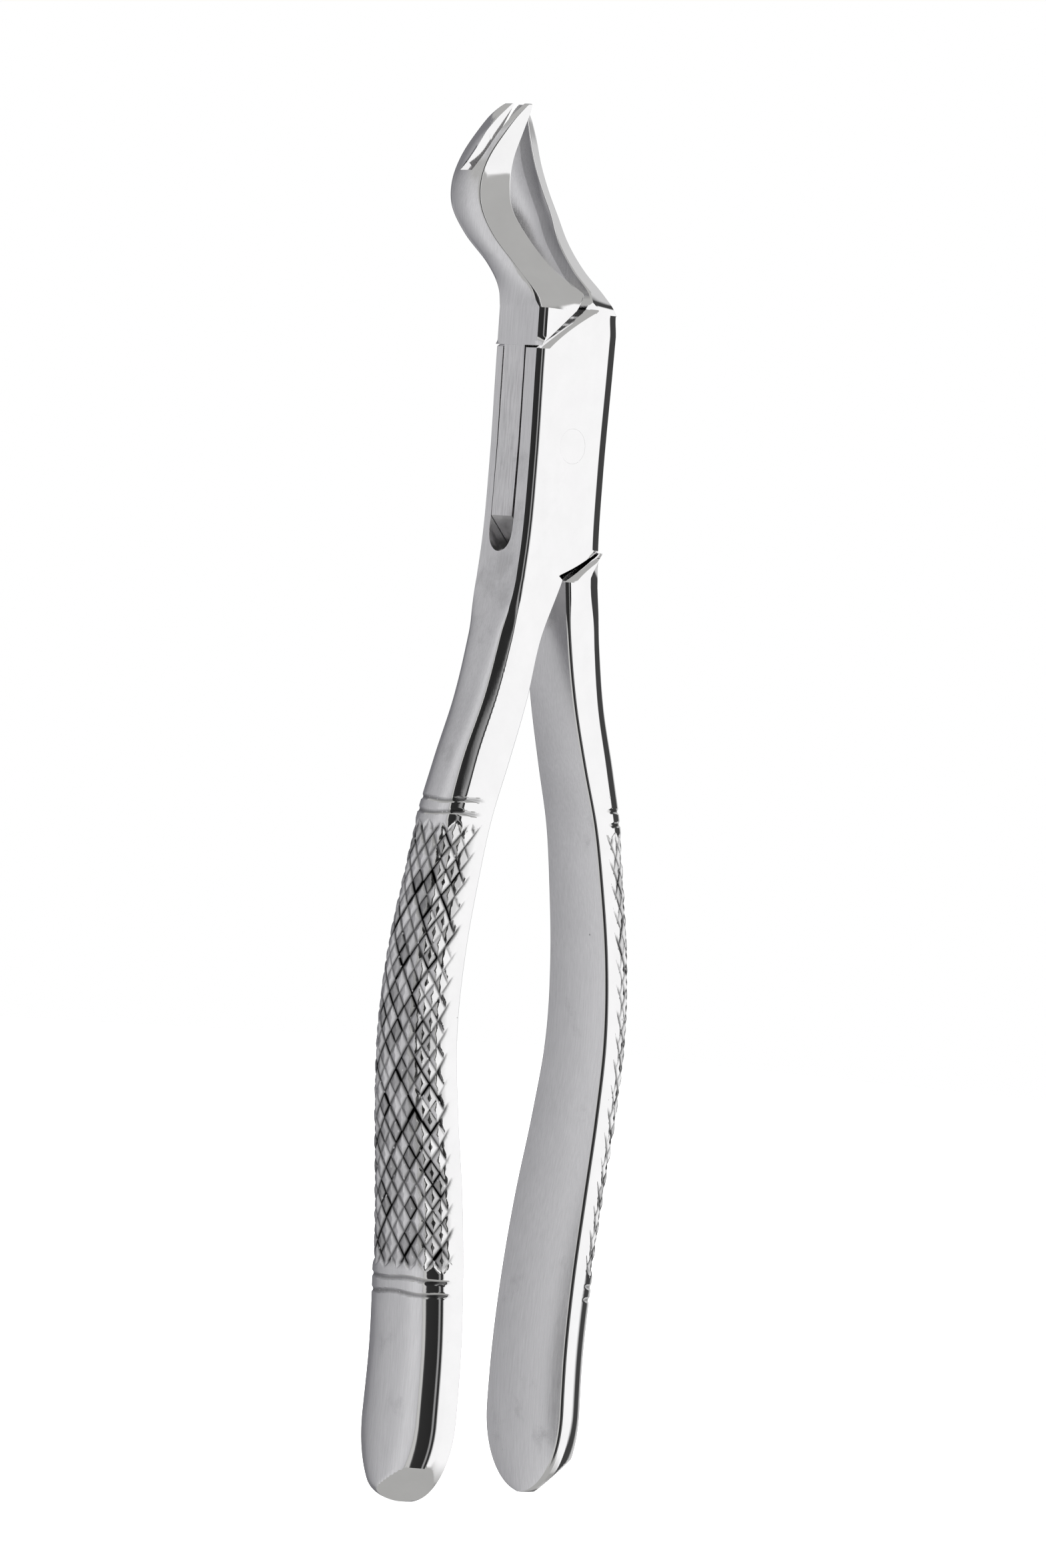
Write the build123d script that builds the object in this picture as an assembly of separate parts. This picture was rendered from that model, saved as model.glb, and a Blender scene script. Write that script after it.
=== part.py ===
from build123d import *
import os

# Extraction forceps with a lap-box joint, in millimetres.
# Z runs up the instrument from the handles to the beaks, X runs across it, and Y runs from
# the front face of the joint to its back. The origin is on the pivot axis at the front face.
# Two forged halves cross at the joint: the box half has the left handle and the right beak,
# and the tongue half has the right handle and the left beak. A riveted pin joins them.

# ---- joint ----
joint_depth = 8.2          # front face to back face
joint_bevel = 0.75         # bevel along the block's front corners
back_bevel = 0.5           # bevel along its back corners
front_cheek = 2.65         # wall of the box in front of the tongue
tongue_thick = 3.95
tongue_play = 0.05         # gap on each face of the tongue
shoulder_gap = 0.12        # gap between the mating shoulders when the beaks are shut
pin_radius = 2.2
pin_play = 0.05            # radial clearance of the tongue on the pin
runout_radius = 2.0        # round-nosed scoop where the slot runs out on the side
runout_length = 7.0
runout_x = 6.85            # where its axis meets the side of the block
runout_angle = 48.0        # slope of the scoop's axis into the side
mid_y = joint_depth / 2

# half width of the joint block at heights along it
block_stations = [(-17.0, 7.1), (-12.5, 6.85), (-3.0, 6.65), (9.3, 6.87), (16.8, 7.0)]

# the shoulders: a slanting line across the front at the top left and at the bottom right
top_outer = (-7.0, 11.7)
top_inner = (1.5, 17.3)
low_outer = (7.0, -12.6)
low_inner = (1.0, -16.2)
shoulder_bevel = 0.9       # bevel on the box half's shoulders
shoulder_overrun = 1.5     # the bevel runs this far past each end of a shoulder

# the slot through the box half and the tongue in it: front-view outlines, (x, z)
slot_end_z = 11.2
slot_outline = [
    (-12.0, 13.0), (-12.0, -slot_end_z), (-6.4, -slot_end_z), (0.3, -17.8), (5.0, -17.8),
    (12.0, -13.0), (12.0, slot_end_z), (6.4, slot_end_z), (1.65, 16.4), (1.65, 19.0), (-3.0, 19.0),
]
tongue_corner_z = 9.3      # the tongue's leading corner, short of the slot's end
tongue_outline = [
    (-6.9, 14.0), (-6.75, tongue_corner_z), (-6.6, 0), (-6.7, -tongue_corner_z),
    (1.2, -17.2), (4.0, -17.2), (6.8, -14.5), (6.6, 0), (6.75, tongue_corner_z),
    (0.7, 16.2), (0.6, 17.6), (-5.0, 17.6),
]

# ---- handles ----
# height, distance of the inner flat from the middle, thickness, width, roundness of the back
handle_stations = [
    (-24.0, 2.3, 6.4, 8.2, 5.0),
    (-32.0, 4.1, 6.6, 8.4, 3.6),
    (-40.0, 6.6, 7.0, 8.8, 2.9),
    (-47.0, 9.0, 6.6, 9.3, 2.7),
    (-55.0, 10.8, 6.2, 9.9, 2.7),
    (-64.0, 12.3, 6.1, 10.5, 2.7),
    (-74.0, 12.9, 5.9, 11.1, 2.7),
    (-84.0, 12.0, 5.8, 12.0, 2.7),
    (-94.0, 10.6, 5.6, 12.9, 2.7),
    (-104.0, 9.5, 5.65, 13.3, 2.7),
    (-113.0, 9.0, 5.5, 13.6, 2.7),
    (-122.0, 9.1, 5.5, 13.9, 2.7),
    (-132.5, 9.5, 5.5, 13.9, 2.7),
]
box_handle_root = [(-11.0, -2.6, 9.4, 8.2, 9.0), (-17.0, -0.5, 7.8, 8.2, 8.0)]
tongue_handle_root = [(-13.0, 0.6, 6.2, 8.2, 9.0), (-18.0, 1.3, 6.15, 8.2, 7.0)]
handle_end_z = -131.7
handle_end_round = 10.7    # length of the half-oval that ends the handle
end_bevel = 3.0            # 45 degree cap on the outer side of the end
side_wall = 1.5            # straight part of the handle's side, next to the inner flat
flat_bevel = 0.4
section_steps = 12         # curve points round the back of a section

# grip: ring grooves above and below the cross-cut band
ring_heights = [-45.0, -46.6, -104.6, -106.4]
ring_width = 0.9
ring_depth = 0.3

# sizes that only need to reach past the instrument when it is trimmed
reach_x = 30.0
reach_y = 20.0
strip_height = 120.0
zone_x = 12.0
zone_margin = 1.0

# ---- beaks ----
# height, ridge x, ridge y, inner edge x, inner edge y, back y, hollow of the inner face
box_beak_root = [
    (16.8, 7.0, 0.0, 2.1, 0.0, 8.2, 0.0),
    (19.2, 6.6, 2.7, 2.9, 2.1, 9.2, 0.1),
    (22.0, 6.5, 6.4, 3.2, 5.4, 11.7, 0.3),
    (25.5, 6.9, 10.3, 3.5, 8.8, 15.4, 0.6),
]
tongue_beak_root = [
    (16.8, 7.0, 0.0, -0.6, 0.0, 8.2, 0.0),
    (18.6, 6.7, 2.0, -1.3, 1.0, 8.9, 0.0),
    (22.0, 6.4, 6.5, 1.3, 4.7, 11.6, 0.4),
    (25.5, 6.9, 10.3, 2.5, 8.1, 15.4, 0.7),
]
beak_stations = [
    (29.0, 7.1, 12.6, 3.5, 10.3, 18.1, 0.9),
    (32.0, 6.2, 13.9, 2.8, 11.7, 19.2, 0.8),
    (35.0, 4.9, 14.3, 1.9, 12.5, 19.4, 0.6),
]
# the single-point beak tapers to one tip, the two-point beak keeps its width
single_tip = [(38.7, 3.3, 14.2, 1.1, 13.1, 18.0, 0.3), (42.1, 1.2, 14.1, 0.6, 13.9, 15.1, 0.05)]
double_tip = [(38.7, 3.3, 12.9, 1.1, 11.9, 18.1, 0.3), (42.1, 1.2, 11.4, 0.6, 11.2, 16.2, 0.05)]
beak_notch_width = 2.1
beak_notch_z = 33.4        # lower end of the notch between the two points
beak_notch_y = 16.9        # its centre line there
beak_notch_tilt = 21.0     # it follows the beak's forward lean
beak_notch_slope = 14.0    # its floor drops inward
beak_notch_length = 14.0
beak_notch_depth = 12.0    # it cuts right through the beak
beak_notch_x = 3.2         # middle of the beak there, left of the pivot


def block_section(z, half_width):
    """Bevelled rectangle across the joint block at height z."""
    w, f, b, d = half_width, joint_bevel, back_bevel, joint_depth
    points = [(-w + f, 0), (w - f, 0), (w, f), (w, d - b), (w - b, d), (b - w, d), (-w, d - b), (-w, f)]
    return Plane.XY.offset(z) * make_face(Polyline(*points, close=True))


def joint_block():
    """The whole block, from shoulder to shoulder, before it is shared between the halves."""
    return loft([block_section(z, w) for z, w in block_stations])


def plate(points, y_front, y_back):
    """A flat plate with a front-view outline of (x, z) points, from y_front back to y_back."""
    outline = Plane.XZ * make_face(Polyline(*points, close=True))
    return Pos(0, y_front, 0) * extrude(outline, amount=y_back - y_front, dir=(0, 1, 0))


def handle_section(z, flat, thick, width, roundness, side):
    """D shape: bevelled inner flat, short side walls and a rounded outer back."""
    half = width / 2
    reach = thick - side_wall
    back = []
    for i in range(section_steps + 1):
        turn = Vector(1, 0).rotate(Axis.Z, 180.0 * i / section_steps)
        bulge = abs(turn.Y) ** (2 / roundness)
        spread = abs(turn.X) ** (2 / roundness) * (1 if turn.X > 0 else -1)
        back.append((side * (flat + side_wall + reach * bulge), mid_y - half * spread))
    front_corner = (side * flat, mid_y - half + flat_bevel)
    back_corner = (side * flat, mid_y + half - flat_bevel)
    front_wall = (side * (flat + flat_bevel), mid_y - half)
    back_wall = (side * (flat + flat_bevel), mid_y + half)
    edges = [
        Line(back_corner, front_corner),
        Line(front_corner, front_wall),
        Line(front_wall, back[0]),
        Spline(*back),
        Line(back[-1], back_wall),
        Line(back_wall, back_corner),
    ]
    return Plane.XY.offset(z) * make_face(edges)


def end_outline():
    """Side-view outline of the handle's lower end: a strip that ends in a half oval."""
    oval_z = handle_end_z + handle_end_round
    strip = Pos(0, mid_y, oval_z + strip_height / 2) * Box(2 * reach_x, 2 * reach_y, strip_height)
    oval = Plane.YZ * Pos(mid_y, oval_z) * Ellipse(handle_stations[-1][3] / 2, handle_end_round)
    return strip + extrude(oval, amount=reach_x, both=True)


def handle_at(z):
    """Flat, thickness, width and roundness of the handle at height z."""
    for above, below in zip(handle_stations, handle_stations[1:]):
        if below[0] <= z <= above[0]:
            share = (z - below[0]) / (above[0] - below[0])
            return [b + share * (a - b) for a, b in zip(above[1:], below[1:])]


def ring_groove(z, side):
    """Shallow groove round the outer back of a handle at height z."""
    flat, thick, width, roundness = handle_at(z)
    core = handle_section(0, flat, thick - ring_depth, width - 2 * ring_depth, roundness, side)
    core = extrude(core, amount=ring_width, both=True)
    slab_x = side * (flat + side_wall + reach_x / 2)
    slab = Pos(slab_x, mid_y, 0) * Box(reach_x, 2 * reach_y, ring_width)
    return Pos(0, 0, z) * (slab - core)


def handle(root, side):
    """One handle, from its root in the joint down to its rounded end."""
    body = loft([handle_section(*s, side) for s in root + handle_stations])
    body = body & end_outline()
    outer = handle_stations[-1][1] + handle_stations[-1][2]
    cap = Box(2 ** 0.5 * end_bevel, 2 * reach_y, 6 * end_bevel)
    body = body - Pos(side * outer, mid_y, handle_end_z) * Rot(0, 45 * side, 0) * cap
    for z in ring_heights:
        body = body - ring_groove(z, side)
    return body


def beak_section(z, ridge_x, ridge_y, inner_x, inner_y, back_y, hollow, side):
    """Slanting front face, flat outer side, and an inner face that is slightly hollow."""
    inner_back_y = back_y + 0.4 * hollow
    ridge = 0.12 * (back_y - ridge_y)
    points = [
        (side * inner_x, inner_y),
        (side * (ridge_x - ridge), ridge_y - 0.1 * ridge),
        (side * ridge_x, ridge_y + ridge),
        (side * ridge_x, back_y - ridge),
        (side * (ridge_x - ridge), back_y),
        (side * inner_x, inner_back_y),
    ]
    middle = (side * (inner_x + hollow), (inner_y + inner_back_y) / 2)
    edges = [Line(a, b) for a, b in zip(points, points[1:])]
    edges.append(Spline(points[-1], middle, points[0]))
    return Plane.XY.offset(z) * make_face(edges)


def beak(stations, side):
    """One beak, cranked back from the joint and leaning forward again to its tip."""
    return loft([beak_section(*s, side) for s in stations])


def beak_notch():
    """Gap between the two points of the left beak, open at the tip."""
    bar = Pos(0, 0, beak_notch_length / 2)
    bar = bar * Box(beak_notch_depth, beak_notch_width, beak_notch_length)
    lean = Rot(beak_notch_tilt, 0, 0) * Rot(0, beak_notch_slope, 0)
    return Pos(-beak_notch_x, beak_notch_y, beak_notch_z) * lean * bar


def pivot_bar(radius):
    """Round bar along the pivot axis, as long as the joint is deep."""
    return extrude(Plane.XZ * Circle(radius), amount=joint_depth, dir=(0, 1, 0))


def edge_bevel(start, end, bevel):
    """Square bars that take a 45 degree bevel off a front-view edge, at the front and the back."""
    a = Vector(start[0], 0, start[1])
    b = Vector(end[0], 0, end[1])
    frame = Plane(origin=(a + b) * 0.5, x_dir=b - a, z_dir=(0, 1, 0))
    side = bevel * 2 ** 0.5
    bar = frame.location * Rot(45, 0, 0) * Box((b - a).length + 2 * shoulder_overrun, side, side)
    return bar + Pos(0, joint_depth, 0) * bar


def cheek_zone(gap):
    """The part of the block that belongs to the box half, grown by gap at the shoulders."""
    top = block_stations[-1][0] + zone_margin
    low = block_stations[0][0] - zone_margin
    top_gap = top_outer[1] + gap
    low_gap = low_outer[1] - gap
    points = [
        (-zone_x, low), (-zone_x, top_gap), (top_outer[0], top_gap),
        (top_inner[0], top_inner[1] + gap), (top_inner[0], top), (zone_x, top),
        (zone_x, low_gap), (low_outer[0], low_gap),
        (low_inner[0], low_inner[1] - gap), (low_inner[0] - 0.2, low),
    ]
    return plate(points, -zone_margin, joint_depth + zone_margin)


def slot():
    """Space inside the box half where the tongue passes through and swings."""
    return plate(slot_outline, front_cheek, front_cheek + tongue_thick + 2 * tongue_play)


def slot_runout(side):
    """Round-nosed scoop where the slot's end runs out on the joint's side."""
    centre_y = front_cheek + tongue_play + tongue_thick / 2
    scoop = Rot(0, 90 - runout_angle, 0) * Rot(0, 90, 0) * Cylinder(runout_radius, runout_length)
    scoop = Pos(-runout_x, centre_y, -slot_end_z) * scoop
    return scoop if side < 0 else Rot(0, 180, 0) * scoop


def tongue():
    """Flat tongue that fills the slot."""
    y_front = front_cheek + tongue_play
    return plate(tongue_outline, y_front, y_front + tongue_thick)


def box_half():
    """Slotted half: left handle, both cheeks of the joint and the single-point right beak."""
    cheeks = joint_block() & cheek_zone(0)
    cheeks = cheeks - edge_bevel(top_outer, top_inner, shoulder_bevel)
    cheeks = cheeks - edge_bevel(low_outer, low_inner, shoulder_bevel)
    left_handle = handle(box_handle_root, -1)
    right_beak = beak(box_beak_root + beak_stations + single_tip, 1)
    body = cheeks + left_handle + right_beak
    return body - slot() - slot_runout(-1) - slot_runout(1) - pivot_bar(pin_radius)


def tongue_half():
    """Crossing half: right handle, flat tongue and the two-point left beak."""
    shoulders = joint_block() - cheek_zone(shoulder_gap)
    right_handle = handle(tongue_handle_root, 1) - cheek_zone(shoulder_gap)
    left_beak = beak(tongue_beak_root + beak_stations + double_tip, -1) - beak_notch()
    body = shoulders + right_handle + left_beak
    body = body + tongue()
    return body - pivot_bar(pin_radius + pin_play)


def write(node, shape):
    shape.label = node
    export_step(shape, f"parts/{node}.step")


os.makedirs("parts", exist_ok=True)
write("box_half", box_half())
write("tongue_half", tongue_half())
write("pivot_pin", pivot_bar(pin_radius))
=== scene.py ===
import math

import bmesh
import bpy
import numpy as np
from mathutils import Matrix, Vector


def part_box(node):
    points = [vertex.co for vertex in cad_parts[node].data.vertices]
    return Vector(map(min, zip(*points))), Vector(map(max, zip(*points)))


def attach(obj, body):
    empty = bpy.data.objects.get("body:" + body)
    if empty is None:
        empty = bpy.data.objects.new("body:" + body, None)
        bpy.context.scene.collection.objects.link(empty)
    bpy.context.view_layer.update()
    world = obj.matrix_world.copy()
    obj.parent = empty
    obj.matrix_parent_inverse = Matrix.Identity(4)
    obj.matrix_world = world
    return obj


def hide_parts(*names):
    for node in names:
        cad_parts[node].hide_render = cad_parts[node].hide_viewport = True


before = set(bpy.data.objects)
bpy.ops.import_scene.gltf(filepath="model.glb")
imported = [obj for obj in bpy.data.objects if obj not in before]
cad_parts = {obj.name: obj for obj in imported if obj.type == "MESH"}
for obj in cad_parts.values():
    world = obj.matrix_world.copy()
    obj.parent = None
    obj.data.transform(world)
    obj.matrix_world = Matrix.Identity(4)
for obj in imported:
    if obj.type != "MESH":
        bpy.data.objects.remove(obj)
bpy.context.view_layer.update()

# Shapes are worked out in millimetres in the CAD frame and scaled to metres when a mesh is made.
# X runs across the forceps, Y from the joint's front face to its back, Z up to the beaks.
MM = 0.001

pin_low, pin_high = [np.array(corner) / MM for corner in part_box("pivot_pin")]
box_low = np.array(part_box("box_half")[0]) / MM

# ---- joint ----
depth = pin_high[1] - pin_low[1]
mid_y = depth / 2
pin_radius = (pin_high[0] - pin_low[0]) / 2
pin_play = 0.05
front_bevel = 0.8
back_bevel = 0.45
top_taper = 0.35                               # the block narrows this much to the right beak
even_bevel = (front_bevel, front_bevel)        # legs of a bevel: across and back
back_even = (back_bevel, back_bevel)
wide_bevel = (2.2, 0.86)                       # along the right front corner
front_cheek = 2.65
tongue_thick = 3.95
tongue_play = 0.05
tongue_front = front_cheek + 0.36              # the tongue shows a dark gap in front
tongue_back = front_cheek + tongue_thick
side_half_width = [(-17.5, 7.3), (-12.5, 6.85), (-3.0, 6.65), (9.3, 6.87), (16.8, 7.0)]
top_shoulder = [(-7.0, 11.7), (1.4, 17.2)]     # (x, z) along the box half's top edge
low_shoulder = [(7.0, -12.6), (1.0, -16.2)]    # and along its bottom edge
tongue_top_shoulder = [(-6.7, 11.95), (1.6, 18.9)]
tongue_low_shoulder = [(7.0, -12.8), (1.2, -16.9)]
box_shoulder_bevel = 0.85
tongue_low_bevel = 0.75
tongue_top_bevel = 0.35
shoulder_pinch = 0.4                           # share of a shoulder's bevel lost halfway along
slot_end_z = 11.2
slot_outline = [                               # (x, z), seen from the front
    (-12, 13), (-12, -slot_end_z), (-6.4, -slot_end_z), (0.3, -17.8), (5, -17.8), (12, -13),
    (12, slot_end_z), (6.4, slot_end_z), (1.65, 16.4), (1.65, 19), (-3, 19),
]
tongue_corner_z = 9.3
tongue_outline = [
    (-6.9, 14), (-6.75, tongue_corner_z), (-6.6, 0), (-6.7, -tongue_corner_z), (1.2, -17.2),
    (4, -17.2), (6.8, -14.5), (6.6, 0), (6.75, tongue_corner_z), (0.7, 16.2), (0.6, 17.6),
    (-5, 17.6),
]
scoop_radius = 1.97                            # round run-outs at the slot's ends
scoop_length = 7
scoop_angle = math.radians(48)
scoop_x = -6.85
crease_z = 16.8                                # front edge where the beaks turn back
root_z = -17.5                                 # top of the handles

# ---- handles: height, inner flat, outer back, width, roundness ----
box_end_z = box_low[2] - 0.7                    # the left handle's end is ground a little longer
tongue_end_z = box_low[2] + 0.6
handle_stations = [
    (-24.0, 2.3, 8.7, 8.2, 5.0),
    (-32.0, 4.1, 10.7, 8.4, 3.6),
    (-40.0, 6.6, 13.6, 8.8, 2.9),
    (-47.0, 9.0, 15.6, 9.3, 2.7),
    (-55.0, 10.8, 17.0, 9.9, 2.7),
    (-64.0, 12.3, 18.4, 10.5, 2.7),
    (-74.0, 12.9, 18.8, 11.1, 2.7),
    (-84.0, 12.0, 17.8, 12.0, 2.7),
    (-94.0, 10.6, 16.2, 12.9, 2.7),
    (-104.0, 9.5, 15.15, 13.3, 2.7),
    (-113.0, 9.0, 14.5, 13.6, 2.7),
    (-122.0, 9.1, 14.6, 13.9, 2.7),
    (-132.5, 9.5, 15.0, 13.9, 2.7),
]
box_handle_root = [(-11.0, -2.6, 6.8, 8.2, 9.0), (-17.0, -0.5, 7.25, 8.2, 8.0)]
tongue_handle_root = [(-11.0, 0.4, 6.8, 8.2, 9.0), (-18.0, 1.3, 7.4, 8.2, 7.0)]
square_z = -24.0                                # the round back turns square from here to root_z
facet_hold_z = (-43.5, -25.0)                   # mesh lines settle on the facets between these
facet_crown_z = (-52.0, -42.0)                  # the facets go flat between these
flat_bow_z = (-40, -20)                         # and so does the inner flat
handle_end_round = 10.7                         # the handle's width rounds in over this height
end_power = 2.1                                 # 2 for an ellipse
end_share = 0.9995                              # share of a full round, so that the end stays open
end_round = 2.4                                 # the handle's back rounds in over this height
end_crease = 4.4                                # its corners are ground off below this height
end_tilt = math.radians(44)
end_thick = 1.4
side_wall = 1.5                                 # from the inner flat to where the back starts
flat_bevel = 0.5
flat_even = (flat_bevel, flat_bevel)
flat_bevel_round = 0.22
flat_bow = 0.07                                 # share of its half width that the flat bows out
facet_crown = 0.3
facet_soft = 0.05
facet_shrink = 4.0                              # facets narrow below this half width
bevel_crown = 0.1                               # 0 for a flat bevel, 1 for a full round
# height and width of the facets along the outer edges, front and back
front_facet = [
    (-106.0, 3.4), (-98.0, 2.4), (-55.0, 2.0), (-44.0, 2.0), (-33.0, 1.95), (-24.0, 1.8),
    (-20.0, 1.4), (-17.5, 1.13),
]
back_facet = [(-60.0, 0.3), (-44.0, 1.0), (-24.0, 1.0), (-17.5, 0.64)]
diagonal = 0.7071                               # sine and cosine of 45 degrees
box_facet_turn = math.radians(45)               # how far the front facet turns outwards
tongue_facet_turn = math.radians(22)

# ---- grip ----
ring_heights = [-45.0, -46.6, -104.6, -106.4]
ring_half_width = 0.36
ring_depth = 0.17
ring_waver = 0.12
ring_reach = 0.72          # the grooves fade from this share of the way round to the edge
ring_fade = 0.2
# painted shade in the plain grooves above and below the grip
ring_painted_shade = 1.4
knurl_top = -47.6
knurl_count = 8            # diamonds round the outer back
knurl_height = 3.11        # height of one diamond
knurl_rows = 18            # diamonds up the grip
knurl_cells = 16           # mesh cells across one diamond
knurl_pitch = 1.78         # distance between neighbouring grooves
knurl_depth = 0.27
knurl_slope = 0.46
knurl_pillow = 0.05        # how fast a diamond's flat rounds off, per mm
knurl_tilt = 0.22          # how far a flat may lean
knurl_base = 0.12          # how far the flats lie below the handle's surface
knurl_families = [(1, 3.7, 0.88), (-1, 9.1, 0.82)]    # slant, seed, reach round the handle
knurl_fade = 0.11
knurl_bottom = 0.45        # share of a groove's depth below which it gets painted shade
# painted shade at the bottoms of the grip's grooves
knurl_groove_painted_shade = 2.1
# painted reflection: each diamond's flat is darkened by its own chance value, standing in for how
# differently the polished flats reflect the room
knurl_flat_painted_reflection = 1.3
knurl_hash = 43758.5453    # with the seeds, gives each flat its own fixed chance values
knurl_seeds = [(12.9898, 78.233), (39.425, 11.135), (73.156, 52.235)]

# ---- beaks: height, ridge x, ridge y, inner x, inner y, back y, hollow ----
box_beak_root = [
    (16.8, 6.65, 0.0, 1.8, 0.0, 8.2, 0.0),
    (17.7, 6.55, 0.6, 2.2, 0.4, 8.4, 0.0),
    (19.2, 6.5, 2.45, 2.9, 1.9, 9.2, 0.1),
    (22.1, 6.5, 6.4, 3.2, 5.4, 11.7, 0.3),
    (25.7, 6.9, 10.3, 3.5, 8.8, 15.4, 0.6),
]
tongue_beak_root = [
    (16.8, 7.0, 0.0, -1.0, 0.0, 8.2, 0.0),
    (18.6, 6.7, 2.0, -1.3, 1.0, 8.9, 0.0),
    (22.1, 6.4, 6.5, 1.3, 4.7, 11.6, 0.4),
    (25.7, 6.9, 10.3, 2.5, 8.1, 15.4, 0.7),
]
beak_stations = [
    (29.3, 7.0, 12.8, 3.4, 10.5, 18.1, 0.9),
    (32.4, 6.2, 14.0, 2.8, 11.8, 19.2, 0.8),
    (35.4, 4.9, 14.3, 1.9, 12.5, 19.4, 0.6),
]
single_tip = [(39.2, 3.3, 14.2, 1.1, 13.1, 18.0, 0.3), (42.6, 1.3, 14.0, 0.6, 13.6, 15.5, 0.05)]
double_tip = [(39.2, 3.3, 12.9, 1.1, 11.9, 18.1, 0.3), (42.6, 1.4, 11.4, 0.6, 11.1, 16.4, 0.05)]
tip_round_z = 40.6                             # above this the beaks round in to their tips
tip_z = 42.7
tip_heights = [tip_round_z + (tip_z - tip_round_z) * np.sin(np.linspace(0.05, np.pi / 2, 14))]
beak_edge = 0.16                               # bevel legs, which fade away towards the tips
beak_ridge = 0.3
beak_rear = 0.5
tip_edge = 0.06
inner_bevel = 0.18                             # along the box beak's inner edge at its root
box_blend_z = 19.5                             # the shoulders blend into the beaks up to here
tongue_blend_z = 20.5
notch_size = (12, 2.1, 14)                     # across, back and up
notch_place = (-3.2, 16.9, 33.8)               # middle of the notch's floor
notch_tilt = math.radians(21)

gap_painted_shade = 2.45            # painted shade in the gap at the shoulder and on the box beak's inner face
beak_painted_shade = 0.75
beak_painted_shade_share = 0.42     # share of the inner face with painted shade, from the front

# ---- ring layout: points along each stretch of a cross-section ----
FRONT = 7
LEFT = knurl_count * knurl_cells
BACK = 7
RIGHT = 22
RING = FRONT + LEFT + BACK + RIGHT
EDGE = LEFT // 8           # of LEFT, on each bevel next to it
CORNER = 4                 # of RIGHT, on each bevel next to it


def track(table):
    """Smooth curve through rows of (height, values...): a function of height."""
    rows = np.array(sorted(table))
    at, value = rows[:, 0], rows[:, 1:]
    slope = np.gradient(value, at, axis=0)

    def read(z):
        z = min(max(z, at[0]), at[-1])
        i = int(np.clip(np.searchsorted(at, z) - 1, 0, len(at) - 2))
        step = at[i + 1] - at[i]
        t = (z - at[i]) / step
        start, end = (2 * t**3 - 3 * t**2 + 1), (3 * t**2 - 2 * t**3)
        lead, trail = (t**3 - 2 * t**2 + t) * step, (t**3 - t**2) * step
        return start * value[i] + end * value[i + 1] + lead * slope[i] + trail * slope[i + 1]

    return read


def ramp(z, low, high):
    """0 below low, 1 above high, with a smooth rise between them."""
    t = np.clip((z - low) / (high - low), 0, 1)
    return t * t * (3 - 2 * t)


def along(points, count, with_end=False):
    """Points spaced evenly by length along a polyline."""
    points = np.array(points, float)
    length = np.r_[0, np.cumsum(np.linalg.norm(np.diff(points, axis=0), axis=1))]
    share = np.linspace(0, length[-1], count + 1)
    if not with_end:
        share = share[:-1]
    return np.c_[np.interp(share, length, points[:, 0]), np.interp(share, length, points[:, 1])]


def bowed(start, end, count, bow):
    """Evenly spaced points from start to end, bowed by bow along x. The end point is left out."""
    t = np.linspace(0, 1, count + 1)[:-1, None]
    line = start + (end - start) * t
    line[:, 0] += bow * 4 * (t * (1 - t))[:, 0]
    return line


def turned(start, corner, end, count, pull):
    """Points from start to end past a corner: a flat bevel where pull is 0, a full round where
    it is 1. The end is left out."""
    t = np.linspace(0, 1, count + 1)[:-1, None]
    middle = (start + end) / 2 + (corner - (start + end) / 2) * pull
    return (1 - t) ** 2 * start + 2 * t * (1 - t) * middle + t ** 2 * end


def four_sided(lf, lb, rf, rb, bevels, hollow=0.0, bulge=0.0, pull=bevel_crown):
    """Cross-section from its left front, left back, right front and right back corners.
    bevels holds their (across, back) legs. hollow and bulge bow the left and right sides.
    pull rounds the corners off."""
    lf, lb, rf, rb = [np.array(p, float) for p in (lf, lb, rf, rb)]
    (lfx, lfy), (lbx, lby), (rfx, rfy), (rbx, rby) = bevels

    def step(a, b, length):
        span = np.linalg.norm(b - a)
        return a + (b - a) * min(length / max(span, 1e-6), 0.45)

    left = np.vstack([
        turned(step(lf, rf, lfx), lf, step(lf, lb, lfy), EDGE, pull),
        bowed(step(lf, lb, lfy), step(lb, lf, lby), LEFT - 2 * EDGE, hollow),
        turned(step(lb, lf, lby), lb, step(lb, rb, lbx), EDGE, pull),
    ])
    right = np.vstack([
        turned(step(rb, lb, rbx), rb, step(rb, rf, rby), CORNER, pull),
        bowed(step(rb, rf, rby), step(rf, rb, rfy), RIGHT - 2 * CORNER, bulge),
        turned(step(rf, rb, rfy), rf, step(rf, lf, rfx), CORNER, pull),
    ])
    front = along([step(rf, lf, rfx), step(lf, rf, lfx)], FRONT)
    back = along([step(lb, rb, lbx), step(rb, lb, rbx)], BACK)
    return np.vstack([front, left, back, right])


def faceted(outline, way, width, soft, crown):
    """Outline with a facet of this width square to way, and the facet's two end indices. soft
    rounds its edges. crown is the share of the outline's own curve that it keeps."""
    reach = outline @ way
    across = outline @ np.array([way[1], -way[0]])
    low, high = 0.0, 3.0
    for _ in range(24):
        cut = (low + high) / 2
        past = reach > reach.max() - cut
        low, high = (cut, high) if np.ptp(across[past]) < width else (low, cut)
    over = reach - (reach.max() - cut)
    ends = np.nonzero(over > 0)[0][[0, -1]]
    if soft > 0:
        over = soft * np.logaddexp(0, over / soft)
    return outline - (1 - crown) * np.maximum(over, 0)[:, None] * way, ends


def arc_length(outline):
    """Length along an outline at each of its points."""
    return np.r_[0, np.cumsum(np.linalg.norm(np.diff(outline, axis=0), axis=1))]


def spread_along(stops, counts):
    """Even steps between each pair of stops."""
    parts = [np.linspace(a, b, count + 1)[:-1] for a, b, count in zip(stops, stops[1:], counts)]
    return np.concatenate(parts)


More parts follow.
